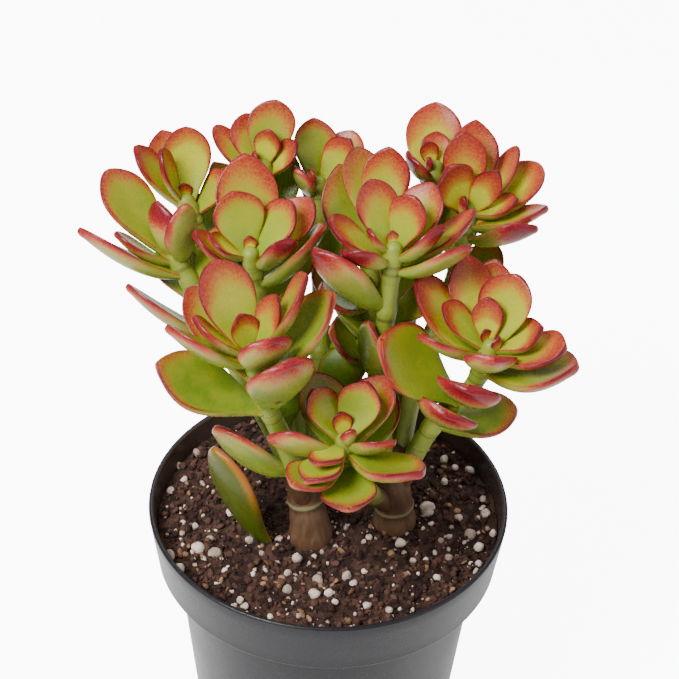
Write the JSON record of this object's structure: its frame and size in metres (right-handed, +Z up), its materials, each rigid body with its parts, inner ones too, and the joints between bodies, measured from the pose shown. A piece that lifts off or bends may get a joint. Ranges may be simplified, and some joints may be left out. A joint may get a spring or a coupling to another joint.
{
  "type": "potted jade plant",
  "caption": "Small jade plant in a round black nursery pot: woody stems rise from gritty soil and carry heads of thick, red-edged leaves.",
  "frame": {"origin": "centre of the pot's flat base", "axes": "+Z up the pot's axis, -Y towards the plant's front as pictured"},
  "size_m": [0.1396, 0.1237, 0.1959],
  "materials": {
    "pot_plastic": "satin black moulded plastic",
    "potting_soil": "dark crumbly soil with white perlite grains",
    "woody_stem": "matt brown bark, green towards the tips",
    "leaf": "waxy, olive green with red edges"
  },
  "bodies": {
    "root": {"pot": "pot_plastic", "soil": "potting_soil", "stem_left": "woody_stem", "stem_right": "woody_stem", "head_front_left": "leaf", "head_front_low": "leaf", "head_right": "leaf", "head_centre": "leaf", "head_middle_left": "leaf", "head_left": "leaf", "head_back_far_left": "leaf", "head_back_left": "leaf", "head_back_middle": "leaf", "head_back_right": "leaf", "head_back_high": "leaf", "head_centre_back": "leaf", "shed_leaf": "leaf"}
  },
  "joints": []
}
